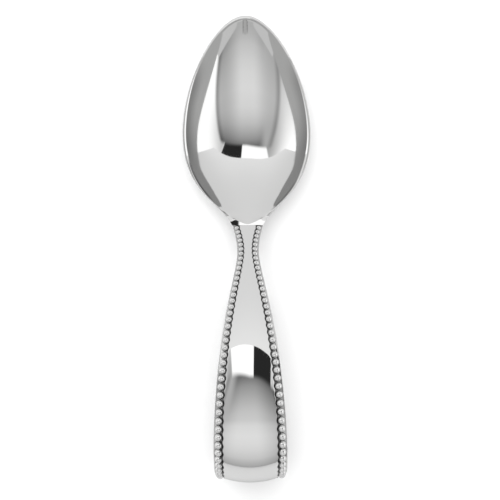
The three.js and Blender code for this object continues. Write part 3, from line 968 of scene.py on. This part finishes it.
def set_input(modifier, tree, name, value):
    """Sets a modifier's input by the identifier of the socket of that name."""
    for item in tree.interface.items_tree:
        if item.item_type == "SOCKET" and item.in_out == "INPUT" and item.name == name:
            modifier[item.identifier] = value


def make_bead_wire(name, side, tree, finish):
    """One bead wire in its ledge: side is +1 for the right and -1 for the left."""
    middles, ups, radii = [], [], []
    for s in BEAD_PLACES:
        across = side * (float(strip_half(s)) - graded(BEAD_INSET_NECK, BEAD_INSET_LOOP, s))
        seat = ledge_level(panel_half(s))
        low, high = on_strip(s, [across, across], [seat, seat + 1.0])
        middles.append(low)
        ups.append(high - low)
        radii.append(graded(BEAD_SIZE_NECK, BEAD_SIZE_LOOP, s) / 2 * MM)
    row = as_object(name + "_row", middles, [], [(k, k + 1) for k in range(len(middles) - 1)])
    point_values(row, "bead_radius", radii)
    layer = row.data.attributes.new("bead_up", "FLOAT_VECTOR", "POINT")
    layer.data.foreach_set("vector", np.array(ups, dtype=np.float32).ravel())
    modifier = row.modifiers.new("Bead row", "NODES")
    modifier.node_group = tree
    set_input(modifier, tree, "Rise", BEAD_RISE)
    set_input(modifier, tree, "Web", BEAD_WEB * MM)
    set_input(modifier, tree, "Segments", BEAD_SEGMENTS)
    set_input(modifier, tree, "Rings", BEAD_RINGS)
    set_input(modifier, tree, "Finish", finish)
    graph = bpy.context.evaluated_depsgraph_get()
    mesh = bpy.data.meshes.new_from_object(row.evaluated_get(graph))
    mesh.name = name
    piece = bpy.data.objects.new(name, mesh)
    bpy.context.scene.collection.objects.link(piece)
    bpy.data.objects.remove(row)
    return piece


# The spoon

hand_polish = hand_polish_group()
polished_silver = silver_finish("Polished silver", hand_polish, gloss=0.02, haze=0.02, dark=0.3)
beaded_silver = silver_finish("Beaded silver", hand_polish, gloss=0.06, haze=0.05, dark=0.24)

bowl = make_bowl()
handle = make_handle()
for piece in (bowl, handle):
    piece.data.materials.append(polished_silver)

bead_row = bead_row_tree()
beads_left = make_bead_wire("beads_left", -1, bead_row, beaded_silver)
beads_right = make_bead_wire("beads_right", 1, bead_row, beaded_silver)

for piece, cad_node, slot in (
    (bowl, "bowl", "polished_silver"),
    (handle, "handle", "polished_silver"),
    (beads_left, "bead_wire_left", "beaded_silver"),
    (beads_right, "bead_wire_right", "beaded_silver"),
):
    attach(piece, "root")
    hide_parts(cad_node)


# Studio, with places in metres and levels of light from 0 for black to about 1 for white

FLOOR_TINTS = (0.86, 0.88)
FLOOR_IN_SILVER = 0.46
FLOOR_REACH = 3.0
WHITE = 1.08
BLACK = 0.02
WALL_ENDS = 0.62
SECOND_REFLECTION = 0.25

# Soft box: its ends, as angles from overhead towards the handle, and its level at shares of the way
BOX_LEAN = (math.radians(-17), math.radians(89))
BOX_LEVELS = [
    (0.0, 0.12),
    (0.057, 0.3),
    (0.113, 0.42),
    (0.165, 0.54),
    (0.222, 0.625),
    (0.283, 0.685),
    (0.434, 0.726),
    (0.566, 0.7),
    (0.689, 0.647),
    (0.764, 0.6),
    (0.83, 0.56),
    (0.887, 0.49),
    (1.0, 0.38),
]


def flat_panel(name, corners):
    """A flat stage panel from its corners in metres."""
    mesh = bpy.data.meshes.new(name)
    mesh.from_pydata(corners, [], [tuple(range(len(corners)))])
    panel = bpy.data.objects.new(name, mesh)
    bpy.context.scene.collection.objects.link(panel)
    return panel


def pale_floor():
    """The pale table, which the silver mirrors in a darker tone."""
    material = bpy.data.materials.new("Pale floor")
    material.use_nodes = True
    tree = material.node_tree
    surface = tree.nodes["Principled BSDF"]
    surface.inputs["Roughness"].default_value = 0.9
    surface.inputs["Specular IOR Level"].default_value = 0.1
    where = node(tree, "ShaderNodeTexCoord")
    grain = node(tree, "ShaderNodeTexNoise")
    grain.inputs["Scale"].default_value = 60.0
    tree.links.new(where.outputs["Object"], grain.inputs["Vector"])
    tint = node(tree, "ShaderNodeMix", data_type="RGBA")
    tint.inputs["A"].default_value = grey(FLOOR_TINTS[0])
    tint.inputs["B"].default_value = grey(FLOOR_TINTS[1])
    tree.links.new(grain.outputs["Fac"], tint.inputs["Factor"])
    # Painted reflection: the floor is darker where the silver mirrors it than where the camera sees it
    path = node(tree, "ShaderNodeLightPath")
    seen = node(tree, "ShaderNodeMix", data_type="RGBA")
    tree.links.new(path.outputs["Is Glossy Ray"], seen.inputs["Factor"])
    tree.links.new(tint.outputs["Result"], seen.inputs["A"])
    seen.inputs["B"].default_value = grey(FLOOR_IN_SILVER)
    tree.links.new(seen.outputs["Result"], surface.inputs["Base Color"])
    signs = ((-1, -1), (1, -1), (1, 1), (-1, 1))
    floor = flat_panel("floor", [(FLOOR_REACH * x, FLOOR_REACH * y, 0) for x, y in signs])
    floor.data.materials.append(material)


def facing(tree, direction, normal):
    """How far a direction lies past a straight edge, on the side that its normal points to."""
    made = node(tree, "ShaderNodeVectorMath", operation="DOT_PRODUCT")
    tree.links.new(direction, made.inputs[0])
    made.inputs[1].default_value = normal
    return made.outputs["Value"]


def fade(tree, value, low, high, at_low=0.0, at_high=1.0):
    """A smooth change from one level to another."""
    made = node(tree, "ShaderNodeMapRange", interpolation_type="SMOOTHSTEP")
    tree.links.new(value, made.inputs["Value"])
    for name, number in (("From Min", low), ("From Max", high), ("To Min", at_low), ("To Max", at_high)):
        made.inputs[name].default_value = number
    return made.outputs["Result"]


def blend(tree, share, first, second):
    """The first level where the share is 0, the second where it is 1."""
    made = node(tree, "ShaderNodeMix", data_type="FLOAT")
    for name, value in (("Factor", share), ("A", first), ("B", second)):
        if isinstance(value, bpy.types.NodeSocket):
            tree.links.new(value, made.inputs[name])
        else:
            made.inputs[name].default_value = value
    return made.outputs["Result"]


def level_ramp(tree, value, stops):
    """A level that follows stops along a value from 0 to 1."""
    made = node(tree, "ShaderNodeValToRGB")
    tree.links.new(value, made.inputs["Fac"])
    ramp = made.color_ramp
    while len(ramp.elements) < len(stops):
        ramp.elements.new(0.5)
    for element, (place, level) in zip(ramp.elements, stops):
        element.position = place
        element.color = grey(level)
    return made.outputs["Color"]


def second_reflection(tree):
    """0 for what the silver mirrors directly, and 1 for what it mirrors of its own reflections."""
    path = node(tree, "ShaderNodeLightPath")
    return fade(tree, path.outputs["Glossy Depth"], 1.2, 1.8)


def studio_world():
    """A soft box overhead on the handle's side, pale walls beside it and cards on the tip's side."""
    world = bpy.data.worlds.new("Studio")
    bpy.context.scene.world = world
    world.use_nodes = True
    tree = world.node_tree
    tree.nodes.clear()
    where = node(tree, "ShaderNodeTexCoord").outputs["Generated"]
    parts = node(tree, "ShaderNodeSeparateXYZ")
    tree.links.new(where, parts.inputs["Vector"])
    east, north, up = (parts.outputs[axis] for axis in "XYZ")
    aside = math_node(tree, "ABSOLUTE", east)

    # Soft box: its level follows the angle from overhead towards the handle, and falls off to the sides
    lean = math_node(tree, "ARCTAN2", math_node(tree, "MULTIPLY", north, -1.0), up)
    along_box = node(tree, "ShaderNodeMapRange")
    tree.links.new(lean, along_box.inputs["Value"])
    along_box.inputs["From Min"].default_value = BOX_LEAN[0]
    along_box.inputs["From Max"].default_value = BOX_LEAN[1]
    box = level_ramp(tree, along_box.outputs["Result"], BOX_LEVELS)
    off_middle = math_node(tree, "ABSOLUTE", math_node(tree, "ADD", east, 0.07))
    box = math_node(tree, "MULTIPLY", box, fade(tree, off_middle, 0.2, 0.85, at_low=1.0, at_high=0.66))
    west_glow = fade(tree, east, -0.3, -0.65, at_low=0.0, at_high=0.42)
    box = math_node(tree, "SMOOTH_MAX", box, west_glow)
    box.node.inputs[2].default_value = 0.2

    # Walls: white on the right, softer and falling off on the left, grey past their far ends
    right_wall = fade(tree, up, 0.3, 0.75, at_low=WHITE, at_high=0.5)
    left_wall = math_node(tree, "ADD", north, 0.95)
    left_wall = math_node(tree, "MULTIPLY", left_wall, fade(tree, up, 0.1, 0.75, at_low=1.05, at_high=0.3))
    walls = blend(tree, fade(tree, east, -0.02, 0.02), left_wall, right_wall)
    far_end = math_node(tree, "MULTIPLY_ADD", aside, 0.85)
    tree.links.new(north, far_end.node.inputs[2])
    walls = blend(tree, fade(tree, far_end, 0.05, -0.05), walls, WALL_ENDS)

    # The box's side edges, with a thin dark frame
    right_edge = facing(tree, where, (-0.482, -0.476, 0.735))
    left_edge = facing(tree, where, (0.407, -0.599, 0.689))
    edge = math_node(tree, "MINIMUM", right_edge, left_edge)
    box = math_node(tree, "MULTIPLY", box, fade(tree, edge, 0.03, 0.14, at_low=0.66, at_high=1.0))
    room = blend(tree, fade(tree, edge, -0.04, 0.04), walls, box)

    # Cards beyond the box: a white one and a black one
    past_box_west = facing(tree, where, (0.09, 0.963, -0.27))
    past_box_east = facing(tree, where, (0.0, 0.963, -0.27))
    past_box = math_node(tree, "MINIMUM", past_box_west, past_box_east)
    white_side = facing(tree, where, (0.769, 0.385, 0.508))
    black_side = facing(tree, where, (0.982, -0.147, -0.12))
    black_end = facing(tree, where, (-0.598, 0.7, 0.389))
    cards = blend(tree, fade(tree, white_side, -0.03, 0.03), walls, WHITE)
    black = fade(tree, black_side, -0.015, 0.015)
    black = math_node(tree, "MULTIPLY", black, fade(tree, black_end, -0.02, 0.02))
    cards = blend(tree, black, cards, BLACK)
    cards = blend(tree, fade(tree, black_end, 0.0, -0.02), cards, walls)
    room = blend(tree, fade(tree, past_box, -0.03, 0.03), room, cards)

    # Second reflections, inside the bowl and between the beads, are dim and even
    inside = fade(tree, north, 0.35, -0.3, at_low=SECOND_REFLECTION, at_high=0.405)
    room = blend(tree, second_reflection(tree), room, inside)

    sky = node(tree, "ShaderNodeBackground")
    tree.links.new(room, sky.inputs["Color"])
    out = node(tree, "ShaderNodeOutputWorld")
    tree.links.new(sky.outputs["Background"], out.inputs["Surface"])


def grey_card(name, place, top, low_level, high_level):
    """An upright card across the spoon's line, seen only in the silver: top runs from right to left."""
    material = bpy.data.materials.new(name)
    material.use_nodes = True
    tree = material.node_tree
    tree.nodes.clear()
    where = node(tree, "ShaderNodeTexCoord")
    parts = node(tree, "ShaderNodeSeparateXYZ")
    tree.links.new(where.outputs["Object"], parts.inputs["Vector"])
    middle_height = top[len(top) // 2][1]
    level = fade(tree, parts.outputs["Z"], 0.0, middle_height, low_level, high_level)
    level = blend(tree, second_reflection(tree), level, SECOND_REFLECTION)
    glow = node(tree, "ShaderNodeEmission")
    tree.links.new(level, glow.inputs["Color"])
    out = node(tree, "ShaderNodeOutputMaterial")
    tree.links.new(glow.outputs["Emission"], out.inputs["Surface"])
    foot = [(top[-1][0], place, 0), (top[0][0], place, 0)]
    card = flat_panel(name, foot + [(x, place, height) for x, height in top])
    card.data.materials.append(material)
    card.visible_camera = False
    card.visible_diffuse = False
    card.visible_shadow = False
    card.visible_transmission = False


def overhead_light(power, size, place):
    """A wide, soft light over the bowl's tip, kept out of the silver's reflections."""
    lamp = bpy.data.lights.new("overhead", "AREA")
    lamp.energy = power
    lamp.size = size
    light = bpy.data.objects.new("overhead", lamp)
    light.location = place
    light.rotation_euler = (-math.atan2(place[1], place[2]), 0.0, 0.0)
    light.visible_glossy = False
    light.visible_camera = False
    bpy.context.scene.collection.objects.link(light)


def overhead_camera():
    """The photographer's view, straight down on the spoon."""
    lens = bpy.data.cameras.new("camera")
    lens.sensor_width = 36.0
    lens.lens = 147.05
    lens.clip_start = 0.01
    aim_x = 0.43 * MM
    aim_y = -0.35 * MM
    height = 0.45
    turn = math.radians(-0.72)
    camera = bpy.data.objects.new("camera", lens)
    camera.location = (aim_x, aim_y, height)
    camera.rotation_euler = (0.0, 0.0, turn)
    bpy.context.scene.collection.objects.link(camera)
    bpy.context.scene.camera = camera


pale_floor()
studio_world()
sheet_top = [(1.2, 0.622), (0.0, 0.55), (-1.2, 0.424)]
grey_card("grey sheet", place=0.325, top=sheet_top, low_level=0.64, high_level=0.78)
left_top = [(-0.0095, 0.02), (-0.09, 0.02)]
grey_card("low card left", place=-0.038, top=left_top, low_level=0.54, high_level=0.54)
right_top = [(0.09, 0.02), (0.0095, 0.02)]
grey_card("low card right", place=-0.038, top=right_top, low_level=0.54, high_level=0.54)
overhead_light(power=13.0, size=1.2, place=(0.0, 0.22, 0.92))
overhead_camera()
bpy.context.scene.view_settings.view_transform = "Standard"
